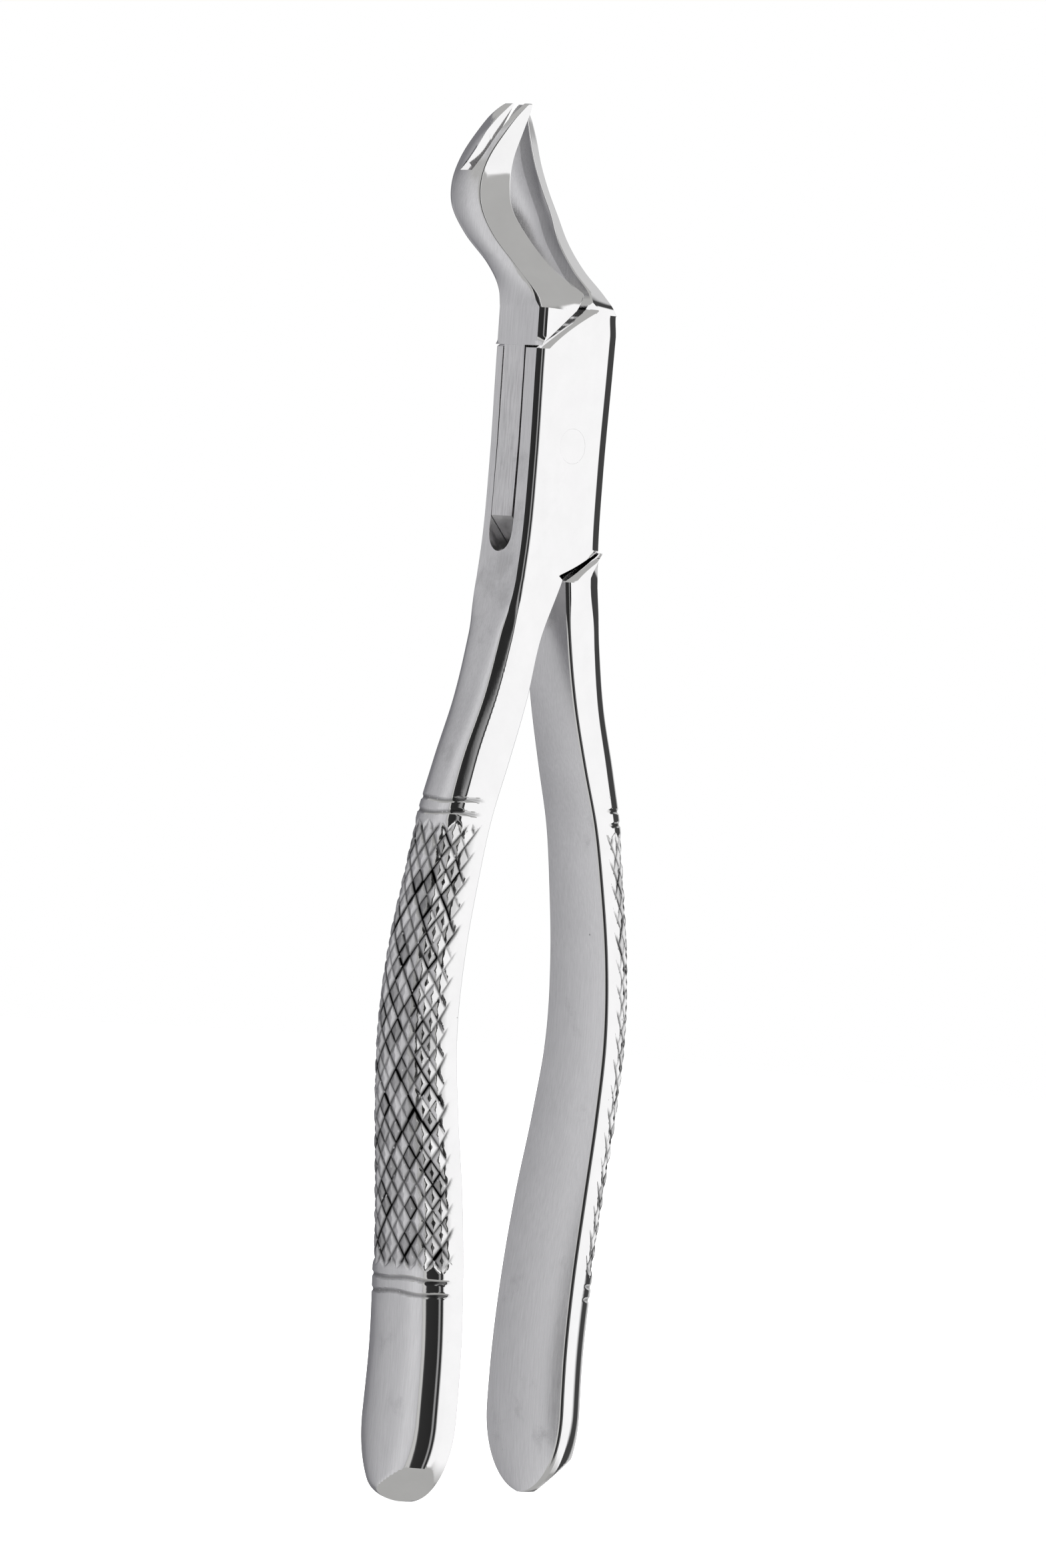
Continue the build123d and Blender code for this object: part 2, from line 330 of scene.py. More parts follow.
def grip_ring(z, flat, outer, half, roundness, facet_turn):
    """D-shaped cross-section of the left handle: inner flat on the right, rounded outer back.
    facet_turn turns the front facet outwards."""
    wall_x = -(flat + side_wall)
    reach = max(outer - flat - side_wall, 0.05)
    angle = np.linspace(0, np.pi, 721)
    rise = np.abs(np.sin(angle)) ** (2 / roundness)
    spread = np.sign(np.cos(angle)) * np.abs(np.cos(angle)) ** (2 / roundness)
    bevel = min(flat_bevel, half * 0.4)
    inner, front_y, back_y = -flat, mid_y - half, mid_y + half
    outline = np.c_[wall_x - reach * rise, mid_y - half * spread]
    outline = np.vstack([[inner - bevel, front_y], outline, [inner - bevel, back_y]])
    outline = along(outline, 1000, True)
    small = min(1.0, half / facet_shrink)
    anchored = ramp(z, *facet_hold_z)
    soft = facet_soft * (1 - ramp(z, square_z, root_z))
    crown = facet_crown * (1 - ramp(z, *facet_crown_z))
    marks = []
    front_way = np.array([-math.sin(facet_turn), -math.cos(facet_turn)])
    back_way = np.array([-diagonal, diagonal])
    for way, widths in ((front_way, front_facet), (back_way, back_facet)):
        width = np.interp(z, *zip(*widths)) * small
        outline, ends = faceted(outline, way, width, soft, crown)
        marks.append(ends)
    length = arc_length(outline)
    total, wall = length[-1], side_wall - bevel
    even = spread_along([0, wall, total - wall, total], [FRONT, LEFT, BACK])
    held = [0, *length[marks[0]], *length[marks[1]], total]
    held = spread_along(held, [FRONT, EDGE, LEFT - 2 * EDGE, EDGE, BACK])
    share = even + (held - even) * anchored
    around = np.c_[np.interp(share, length, outline[:, 0]), np.interp(share, length, outline[:, 1])]
    back_edge, front_edge = np.array([inner, back_y - bevel]), np.array([inner, front_y + bevel])
    bow = flat_bow * (back_edge[1] - front_edge[1]) / 2 * (1 - ramp(z, *flat_bow_z))
    right = np.vstack([
        turned(np.array([inner - bevel, back_y]), np.array([inner, back_y]), back_edge, CORNER,
               flat_bevel_round),
        bowed(back_edge, front_edge, RIGHT - 2 * CORNER, bow),
        turned(front_edge, np.array([inner, front_y]), np.array([inner - bevel, front_y]), CORNER,
               flat_bevel_round),
    ])
    return np.vstack([around, right])


half_width = track(side_half_width)


def handle_ring(z, read, end_z, facet_turn, corner_bevel):
    """Cross-section of the left handle at height z, from its root to its rounded end."""
    flat, outer, width, roundness = read(z)
    oval_z = end_z + handle_end_round
    half = width / 2
    if z < oval_z:
        half *= (1 - min((oval_z - z) / handle_end_round, end_share) ** end_power) ** 0.5
    if z < end_z + end_round:
        deep = (end_z + end_round - z) / end_round
        outer = flat + end_thick + (outer - flat - end_thick) * math.sqrt(max(1 - deep ** 2, 0.0))
    round_ring = grip_ring(z, flat, outer, half, roundness, facet_turn)
    square = ramp(z, square_z, root_z)
    if square == 0:
        return round_ring
    front_y, back_y = mid_y - half, mid_y + half
    square_ring = four_sided((-outer, front_y), (-outer, back_y), (-flat, front_y), (-flat, back_y),
                             [corner_bevel, back_even, flat_even, flat_even])
    return round_ring + (square_ring - round_ring) * square


def beak_ring(z, read, inner_x, left_bevel):
    """Cross-section of the right beak at height z, with its inner edge at inner_x. left_bevel is
    the bevel there, or None for the beak's own."""
    ridge_x, ridge_y, _, inner_y, back_y, hollow = read(z)
    start = ramp(z, crease_z, 21.0)
    tip = 1 - ramp(z, 38.5, tip_z)
    if z > tip_round_z:
        fall = 1 - math.sqrt(max(1 - ((z - tip_round_z) / (tip_z - tip_round_z)) ** 2, 0.0))
        ridge_x += (inner_x + 0.25 - ridge_x) * fall
        ridge_y, back_y = ridge_y + 0.25 * fall, back_y - 0.6 * fall
        inner_y += 0.35 * fall
    edge = beak_edge * tip + tip_edge
    ridge = beak_ridge * tip + 0.08 + (front_bevel - 0.38) * (1 - start)
    pull = bevel_crown + (1 - bevel_crown) * ramp(z, 18.5, 24)
    across, back = left_bevel or (edge, edge)
    rear = back_bevel + (beak_rear * tip + 0.1 - back_bevel) * start
    bevels = [(across, back), (edge, edge), (ridge, ridge), (rear, rear)]
    return four_sided((inner_x, inner_y), (inner_x, back_y + 0.4 * hollow), (ridge_x, ridge_y),
                      (ridge_x, back_y), bevels, hollow, 0.3 * start * tip, pull)


def joint_ring(left, right, left_bevel, right_bevel):
    """Cross-section of the joint block between two x positions. Bevels are (across, back) legs."""
    return four_sided((left, 0), (left, depth), (right, 0), (right, depth),
                      [left_bevel, back_even, right_bevel, back_even])


def shoulder_x(line, z):
    """x of a shoulder line at height z."""
    (x0, z0), (x1, z1) = line
    return x0 + (x1 - x0) * (z - z0) / (z1 - z0)


def shoulder_bevel(line, z, size):
    """Legs of the bevel along a slanting shoulder, measured across and back."""
    (x0, z0), (x1, z1) = line
    share = (z - z0) / (z1 - z0)
    pinch = 1 - shoulder_pinch + shoulder_pinch * (2 * share - 1) ** 2
    lean = math.hypot(x1 - x0, z1 - z0) / abs(z1 - z0)
    return size * pinch * lean, size * pinch


def heights(start, end, step):
    """Heights from start to end, about step apart, both ends included."""
    return np.linspace(start, end, max(2, int(round(abs(end - start) / step)) + 1))


def stack(rows):
    """Rings with their heights as one array of points."""
    points = np.zeros((len(rows), RING, 3))
    for index, (z, ring) in enumerate(rows):
        points[index, :, :2] = ring
        points[index, :, 2] = z
    return points


def knurl_cut(column, row):
    """Depth of the cross-cut grip at grid points counted in mesh cells, with painted shade in its
    grooves and painted reflection on its flats.
    """
    side = np.abs(column - LEFT / 2) / (LEFT / 2)
    ends = np.minimum(row, knurl_rows * knurl_cells - row) / knurl_cells
    groove = np.full(np.broadcast(column, row).shape, -1.0)
    pillow = np.zeros(groove.shape)
    lines = []
    for slant, seed, reach in knurl_families:
        line = (column + slant * row) / knurl_cells
        waver = 0.035 * np.sin(row * 0.031 + seed)
        line = line + waver + 0.02 * np.sin(np.round(line) * seed * 1.7)
        lines.append(line)
        nearest = np.round(line)
        away = np.abs(line - nearest) * knurl_pitch
        uneven = 0.95 + 0.12 * np.sin(nearest * seed) + 0.08 * np.sin(nearest * seed + row * 0.06)
        fade = 1 - np.clip((side - reach) / knurl_fade, 0, 2) ** 2
        fade = np.minimum(fade, ends / 0.3)
        groove = np.maximum(groove, knurl_depth * uneven * fade - away * knurl_slope)
        middle = 0.5 * knurl_pitch - away
        pillow = pillow + knurl_pillow * middle ** 2 * np.clip(fade, 0, 1)
    cell = [np.floor(line) for line in lines]
    chance = [np.sin(cell[0] * a + cell[1] * b) * knurl_hash for a, b in knurl_seeds]
    chance = [value - np.floor(value) for value in chance]
    flat = pillow + knurl_base
    for line, index, value in zip(lines, cell, chance):
        flat = flat + knurl_tilt * knurl_pitch * (line - index - 0.5) * (value - 0.5)
    knurl_inside = np.clip(4 * ends, 0, 1) * np.clip(8 * (0.9 - side), 0, 1)
    bottom = np.clip((groove / knurl_depth - knurl_bottom) / (1 - knurl_bottom), 0, 1)
    cut = np.maximum(groove + knurl_base * knurl_inside, flat * knurl_inside)
    # painted shade at the bottoms of the grooves, and painted reflection darkening each flat by its
    # own chance value
    return cut, knurl_groove_painted_shade * bottom + knurl_flat_painted_reflection * chance[2] ** 1.6 * knurl_inside


def ring_cut(z, column):
    """Depth of the plain grooves above and below the grip."""
    side = np.abs(column - LEFT / 2) / (LEFT / 2)
    fade = 1 - np.clip((side - ring_reach) / ring_fade, 0, 2) ** 2
    cut = np.zeros(np.broadcast(z, column).shape)
    for height in ring_heights:
        away = (z - height - ring_waver * np.sin(column * 0.11 + height)) / ring_half_width
        cut = np.maximum(cut, ring_depth * (fade - away ** 2))
    return cut


def handle_points(root, end_z, facet_turn, corner_bevel):
    """Points of the left handle from its end up to its root, how its cells are halved and the
    painted shade of its grooves, with painted reflection on the grip's flats."""
    read = track(root + handle_stations)
    oval_z = end_z + handle_end_round
    grip_low = knurl_top - knurl_rows * knurl_height
    oval = oval_z - handle_end_round * np.cos(np.linspace(0.03, np.pi / 2, 34))
    below = np.r_[oval, heights(oval_z, -107.7, 0.8)[1:], heights(-107.6, grip_low - 0.1, 0.11)]
    grip = np.linspace(grip_low, knurl_top, knurl_rows * knurl_cells + 1)
    above = np.r_[heights(knurl_top + 0.1, -43.9, 0.11), heights(-43.6, root_z, 0.75)]
    at = np.r_[below, grip, above]
    points = stack([(z, handle_ring(z, read, end_z, facet_turn, corner_bevel)) for z in at])
    upward = np.gradient(points, axis=0)
    round_way = (np.roll(points, -1, axis=1) - np.roll(points, 1, axis=1)) / 2
    normal = np.cross(upward, round_way)
    normal /= np.maximum(np.linalg.norm(normal, axis=2), 1e-9)[:, :, None]
    cut, dark = np.zeros((2, len(at), RING))
    column = np.arange(LEFT + 1)[None, :]
    first = len(below)
    row = np.arange(len(grip))[:, None]
    knurled, back = slice(first, first + len(grip)), slice(FRONT, FRONT + LEFT + 1)
    cut[knurled, back], dark[knurled, back] = knurl_cut(column, row)
    plain = np.r_[0:first, first + len(grip):len(at)]
    cut[plain, back] = ring_cut(at[plain][:, None], column)
    # painted shade in the plain grooves, strongest at their bottoms
    dark[plain, back] = ring_painted_shade * (cut[plain, back] / ring_depth) ** 2
    points -= normal * np.maximum(cut, 0)[:, :, None]
    lean = -math.cos(end_tilt) * diagonal
    slope = np.array([lean, lean, -math.sin(end_tilt)])
    level = (points[np.argmin(np.abs(at - end_z - end_crease))] @ slope).max()
    points -= np.maximum(points @ slope - level, 0)[:, :, None] * slope
    split = np.zeros((len(at), RING), int)
    cell_row, cell_column = row[:-1], column[:, :-1]
    centre = knurl_cut(cell_column + 0.5, cell_row + 0.5)[0]
    corner = cut[knurled, back]
    rising = corner[:-1, :-1] + corner[1:, 1:]
    falling = corner[:-1, 1:] + corner[1:, :-1]
    closer = np.abs(rising / 2 - centre) < np.abs(falling / 2 - centre)
    split[first:first + len(grip) - 1, FRONT:FRONT + LEFT] = np.where(closer, 1, 2)
    return points, split, dark


def surface(points, split=None):
    """Vertices and faces of the closed tube through a stack of rings, lowest ring first."""
    rows, count = points.shape[:2]
    index = np.arange(rows * count).reshape(rows, count)
    a, b = index[:-1], index[1:]
    c, d = np.roll(b, -1, axis=1), np.roll(a, -1, axis=1)
    way = np.zeros(a.shape, int) if split is None else split[:len(a)]
    whole = np.stack([a, b, c, d], axis=2)[way == 0]
    one, two = way == 1, way == 2
    halves = np.vstack([
        np.stack([a, b, c], axis=2)[one], np.stack([a, c, d], axis=2)[one],
        np.stack([a, b, d], axis=2)[two], np.stack([b, c, d], axis=2)[two],
    ])
    faces = whole.tolist() + halves.tolist() + [index[0].tolist(), index[-1][::-1].tolist()]
    return points.reshape(-1, 3), faces


def mesh_object(name, points, faces, mirror=False):
    """New mesh object from millimetre points. mirror swaps left and right."""
    points = np.array(points, float)
    if mirror:
        points[:, 0] *= -1
        faces = [face[::-1] for face in faces]
    mesh = bpy.data.meshes.new(name)
    mesh.from_pydata((points * MM).tolist(), [], faces)
    mesh.update()
    item = bpy.data.objects.new(name, mesh)
    bpy.context.scene.collection.objects.link(item)
    return item


def prism(name, outline, y_front, y_back):
    """Plate with a front-view outline of (x, z) points."""
    area = sum(a[0] * b[1] - b[0] * a[1] for a, b in zip(outline, outline[1:] + outline[:1]))
    if area < 0:
        outline = outline[::-1]
    count = len(outline)
    points = [(x, y, z) for y in (y_front, y_back) for x, z in outline]
    sides = [(i, (i + 1) % count, (i + 1) % count + count, i + count) for i in range(count)]
    faces = [tuple(range(count)), tuple(range(2 * count - 1, count - 1, -1))]
    faces += [face[::-1] for face in sides]
    return mesh_object(name, points, faces)


def bar(name, radius, length, segments=48):
    """Round bar along Z, centred on the origin."""
    mesh = bpy.data.meshes.new(name)
    build = bmesh.new()
    bmesh.ops.create_cone(build, cap_ends=True, segments=segments, radius1=radius * MM,
                          radius2=radius * MM, depth=length * MM)
    build.to_mesh(mesh)
    build.free()
    item = bpy.data.objects.new(name, mesh)
    bpy.context.scene.collection.objects.link(item)
    return item


def bore_bar(radius, length, segments):
    """Round bar along the pivot, centred in the joint, for cutting a bore."""
    bore = bar("bore_cut", radius, length, segments)
    middle = Matrix.Translation((0, mid_y * MM, 0))
    bore.data.transform(middle @ Matrix.Rotation(math.pi / 2, 4, "X"))
    return bore


def block(name, size, centre):
    """Box for cutting, in millimetres."""
    (x, y, z), (cx, cy, cz) = size, centre
    left, right, low, high = cx - x / 2, cx + x / 2, cz - z / 2, cz + z / 2
    outline = [(left, low), (right, low), (right, high), (left, high)]
    return prism(name, outline, cy - y / 2, cy + y / 2)


def combine(item, other, operation, ground=True):
    """Exact boolean of two objects, kept in the first. The second is removed. The second's
    surfaces are ground steel, unless ground is False."""
    other.data.materials.append(ground_steel if ground else forged)
    change = item.modifiers.new("cut", "BOOLEAN")
    change.operation = operation
    change.solver = "EXACT"
    change.material_mode = "TRANSFER"
    change.object = other
    bpy.context.view_layer.update()
    changed = item.evaluated_get(bpy.context.evaluated_depsgraph_get())
    result = bpy.data.meshes.new_from_object(changed)
    item.modifiers.clear()
    old, item.data = item.data, result
    name = old.name
    bpy.data.meshes.remove(old)
    result.name = name
    bpy.data.objects.remove(other)


def mark_painted_shade(item, points, dark, mirror=False):
    """Stores each vertex's painted shade: in the grip's grooves, on the box half's shoulder wall
    in the joint's gap and on the box beak's inner face, with painted reflection on the grip's
    flats.
    """
    flip = -1 if mirror else 1
    deep = dark > 0.02
    known = {}
    for (x, y, z), value in zip(points[deep], dark[deep]):
        known[(round(x * flip, 3), round(y, 3), round(z, 3))] = value
    values = np.zeros(len(item.data.vertices))
    for index, vertex in enumerate(item.data.vertices):
        x, y, z = vertex.co / MM
        values[index] = known.get((round(x, 3), round(y, 3), round(z, 3)), 0.0)
    layer = item.data.attributes.new("dark", "FLOAT", "POINT")
    layer.data.foreach_set("value", values)


def place_piece(item, sharp_angle, body, node):
    """Shades a piece, sharp at edges over the angle in degrees, rides it on its body and has it
    stand for its CAD node."""
    item.data.shade_smooth()
    item.data.set_sharp_from_angle(angle=math.radians(sharp_angle))
    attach(item, body)
    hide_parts(node)


# ---- box half: left handle, joint block and right beak in one sweep ----
def box_half_piece():
    handle, split, handle_painted_shade = handle_points(box_handle_root, box_end_z, box_facet_turn,
                                               even_bevel)
    flat_at = track(box_handle_root + handle_stations)
    low_z, (top_x, top_z) = low_shoulder[0][1], top_shoulder[1]
    rows = []
    for z in np.r_[heights(root_z + 0.3, low_shoulder[1][1], 0.4),
                   heights(low_shoulder[1][1] + 0.02, low_z - 0.02, 0.25),
                   heights(low_z, top_shoulder[0][1], 0.8),
                   heights(top_shoulder[0][1] + 0.05, crease_z - 0.02, 0.25)]:
        width = half_width(z)[0]
        left, left_bevel = -width, even_bevel
        if z > top_shoulder[0][1]:
            left = shoulder_x(top_shoulder, z)
            left_bevel = shoulder_bevel(top_shoulder, z, box_shoulder_bevel)
        right, right_bevel = width - top_taper * ramp(z, 14.0, crease_z), wide_bevel
        if z < low_shoulder[1][1]:
            right, right_bevel = -flat_at(z)[0], flat_even
        elif z < low_z:
            right = min(shoulder_x(low_shoulder, z), width)
            right_bevel = shoulder_bevel(low_shoulder, z, box_shoulder_bevel)
        rows.append((z, joint_ring(left, right, left_bevel, right_bevel)))
    read = track(box_beak_root + beak_stations + single_tip)
    full_bevel = shoulder_bevel(top_shoulder, top_z, box_shoulder_bevel)
    for z in np.r_[heights(crease_z, top_z, 0.1), heights(top_z + 0.15, 40.5, 0.4), *tip_heights]:
        if z <= top_z:
            inner = shoulder_x(top_shoulder, z)
        else:
            gap = top_x - read(top_z)[2]
            inner = read(z)[2] + gap * (1 - ramp(z, top_z, box_blend_z))
        fade = 1 - ramp(z, top_z, top_z + 1.2)
        edge = [inner_bevel + (leg - inner_bevel) * fade for leg in full_bevel]
        rows.append((z, beak_ring(z, read, inner, edge if fade > 0 else None)))
    upper = stack(rows)
    points = np.concatenate([handle, upper])
    split = np.vstack([split, np.zeros((len(upper), RING), int)])
    item = mesh_object("forceps_box_half", *surface(points, split))
    item.data.materials.append(forged)
    back_of_slot = front_cheek + tongue_thick + 2 * tongue_play
    combine(item, prism("slot_cut", slot_outline, front_cheek, back_of_slot), "DIFFERENCE")
    scoop_y = front_cheek + tongue_play + tongue_thick / 2
    lean = Matrix.Rotation(math.pi - scoop_angle, 4, "Y")
    place = Matrix.Translation(Vector((scoop_x, scoop_y, -slot_end_z)) * MM)
    for turn in (Matrix.Identity(4), Matrix.Rotation(math.pi, 4, "Y")):
        scoop = bar("scoop_cut", scoop_radius, scoop_length)
        scoop.data.transform(turn @ place @ lean)
        combine(item, scoop, "DIFFERENCE")
    combine(item, bore_bar(pin_radius, depth + 4, 96), "DIFFERENCE")
    dark = np.vstack([handle_painted_shade, np.zeros(upper.shape[:2])])
    first = FRONT + EDGE
    # painted shade on the box half's shoulder wall in the gap at the top shoulder
    wall = (points[:, 0, 2] > top_shoulder[0][1]) & (points[:, 0, 2] <= top_z + 0.2)
    dark[wall, first + 1:first + (LEFT - 2 * EDGE) // 3] = gap_painted_shade
    # painted shade on the front share of the box beak's inner face
    beak = points[:, 0, 2] > top_z + 1.5
    dark[beak, first:first + int(beak_painted_shade_share * (LEFT - 2 * EDGE))] = beak_painted_shade
    mark_painted_shade(item, points, dark)
    return item


# ---- tongue half: right handle and left beak, swept in mirror image, with the tongue ----
def tongue_half_piece():
    handle, split, handle_painted_shade = handle_points(tongue_handle_root, tongue_end_z, tongue_facet_turn,
                                               wide_bevel)
    flat_at = track(tongue_handle_root + handle_stations)
    low_z, inner_z = tongue_low_shoulder[0][1], tongue_low_shoulder[1][1]
    rows = []
    for z in np.r_[heights(root_z + 0.25, inner_z, 0.3),
                   heights(inner_z + 0.02, low_z - 0.05, 0.2)]:
        width = half_width(z)[0]
        inner, bevel = -flat_at(z)[0], flat_even
        if z > inner_z:
            inner = -shoulder_x(tongue_low_shoulder, z)
            bevel = shoulder_bevel(tongue_low_shoulder, z, tongue_low_bevel)
        inner = max(inner, -width + 0.1)
        rows.append((z, joint_ring(-width, inner, wide_bevel, bevel)))
    upper = stack(rows)
    split = np.vstack([split, np.zeros((len(upper), RING), int)])
    points = np.concatenate([handle, upper])
    item = mesh_object("forceps_tongue_half", *surface(points, split), mirror=True)
    item.data.materials.append(forged)

    low_z, (top_x, top_z) = tongue_top_shoulder[0][1], tongue_top_shoulder[1]
    read = track(tongue_beak_root + beak_stations + double_tip)
    rows = []
    for z in np.r_[heights(low_z + 0.08, crease_z - 0.02, 0.2), heights(crease_z, 40.5, 0.4),
                   *tip_heights]:
        width = half_width(z)[0]
        if z < top_z:
            inner = -shoulder_x(tongue_top_shoulder, z)
            bevel = shoulder_bevel(tongue_top_shoulder, z, tongue_top_bevel)
        else:
            gap = -top_x - read(top_z)[2]
            inner, bevel = read(z)[2] + gap * (1 - ramp(z, top_z, tongue_blend_z)), None
        if z < crease_z:
            rows.append((z, joint_ring(min(inner, width - 0.35), width, bevel, even_bevel)))
        else:
            rows.append((z, beak_ring(z, read, inner, bevel)))
    beak = mesh_object("beak_add", *surface(stack(rows)), mirror=True)
    combine(item, prism("tongue_add", tongue_outline, tongue_front, tongue_back), "UNION")
    combine(item, beak, "UNION", False)
    notch = block("notch_cut", notch_size, (0, 0, notch_size[2] / 2))
    lean = Matrix.Identity(4)
    lean[1][2] = -math.tan(notch_tilt)
    notch.data.transform(Matrix.Translation(Vector(notch_place) * MM) @ lean)
    combine(item, notch, "DIFFERENCE", False)
    combine(item, bore_bar(pin_radius + pin_play, depth, 64), "DIFFERENCE")
    mark_painted_shade(item, handle, handle_painted_shade, mirror=True)
    return item


def rivet_piece():
    """Pin with slightly crowned ends, ground almost flush with the joint's faces."""
    radius, crown, soften = pin_radius - 0.004, 0.004, 0.02
    profile = [(0, -crown), (radius * 0.5, -crown * 0.8), (radius - soften, -crown * 0.3),
               (radius - soften * 0.3, soften * 0.2), (radius, soften)]
    profile += [(r, depth - y) for r, y in reversed(profile)]
    segments = 96
    points, faces = [], []
    for r, y in profile[1:-1]:
        for i in range(segments):
            turn = 2 * math.pi * i / segments
            points.append((r * math.cos(turn), y, r * math.sin(turn)))
    rings = len(profile) - 2
    for ring in range(rings - 1):
        for i in range(segments):
            a, b = ring * segments + i, ring * segments + (i + 1) % segments
            faces.append((a, b, b + segments, a + segments))
    points += [(0, profile[0][1], 0), (0, profile[-1][1], 0)]
    start, end = len(points) - 2, len(points) - 1
    last = (rings - 1) * segments
    for i in range(segments):
        j = (i + 1) % segments
        faces += [(start, j, i), (end, last + i, last + j)]
    item = mesh_object("forceps_pivot_rivet", points, faces)
    build = bmesh.new()
    build.from_mesh(item.data)
    bmesh.ops.recalc_face_normals(build, faces=build.faces)
    build.to_mesh(item.data)
    build.free()
    item.data.materials.append(pin_steel)
    return item


# ---- materials: noise scales per metre, and how strongly each mark shows ----
cloud_scale = 260
grain_scale = 5200
speck_scale = 4200
smudge_scale = 95
scratch_scale = 900
nick_scale = 700
pit_scale = 190
floor_scale = 30
along_z = (1.0, 1.0, 0.05)      # stretches noise into a grain that runs up the piece
scratch_stretch = (1.0, 1.0, 0.03)
nick_stretch = (0.05, 0.3, 1.0)
steel_level = 0.93
satin_level = 0.13
smudge_rough = 0.14
smudge_dull = 0.20
groove_rough = 0.08
# how much the painted shade darkens the colour
painted_shade_strength = 0.37
pit_dull = 0.45
relief_strength = 0.30
relief_height = 0.00003
floor_glow = 0.8
floor_reflected_glow = 0.38


class Nodes:
    """Short helpers for building a node tree."""

    def __init__(self, tree):
        self.tree = tree
        tree.nodes.clear()

    def add(self, kind, **settings):
        node = self.tree.nodes.new(kind)
        for key, value in settings.items():
            setattr(node, key, value)
        return node

    def link(self, value, socket):
        """Links a socket to another, or sets it to a plain value."""
        if isinstance(value, bpy.types.NodeSocket):
            self.tree.links.new(value, socket)
        else:
            socket.default_value = value

    def math(self, operation, *values, clamp=False):
        node = self.add("ShaderNodeMath", operation=operation, use_clamp=clamp)
        for value, socket in zip(values, node.inputs):
            self.link(value, socket)
        return node.outputs[0]

    def smooth(self, value, low, high):
        """0 at low, 1 at high, with a smooth rise between them."""
        node = self.add("ShaderNodeMapRange", interpolation_type="SMOOTHSTEP")
        for item, socket in zip((value, low, high), node.inputs):
            self.link(item, socket)
        return node.outputs[0]

    def noise(self, vector, scale, detail=3.0, rough=0.5, stretch=None):
        if stretch:
            spread = self.add("ShaderNodeMapping")
            self.link(vector, spread.inputs["Vector"])
            spread.inputs["Scale"].default_value = stretch
            vector = spread.outputs[0]
        node = self.add("ShaderNodeTexNoise")
        self.link(vector, node.inputs["Vector"])
        node.inputs["Scale"].default_value = scale
        node.inputs["Detail"].default_value = detail
        node.inputs["Roughness"].default_value = rough
        return node.outputs["Fac"]

    def mix(self, share, first, second):
        node = self.add("ShaderNodeMix", data_type="RGBA")
        self.link(share, node.inputs["Factor"])
        self.link(first, node.inputs["A"])
        self.link(second, node.inputs["B"])
        return node.outputs["Result"]

    def ramp(self, value, stops):
        """Colour ramp through stops of (position, colour)."""
        node = self.add("ShaderNodeValToRGB")
        elements = node.color_ramp.elements
        while len(elements) < len(stops):
            elements.new(0.5)
        for element, (position, colour) in zip(elements, stops):
            element.position = position
            element.color = colour
        self.link(value, node.inputs["Fac"])
        return node.outputs["Color"]


def grey(level, blue=0.0):
    """Colour of a grey, with a touch of blue or, below zero, of warmth."""
    return (level, level - abs(blue) * 0.1, level + blue, 1.0)


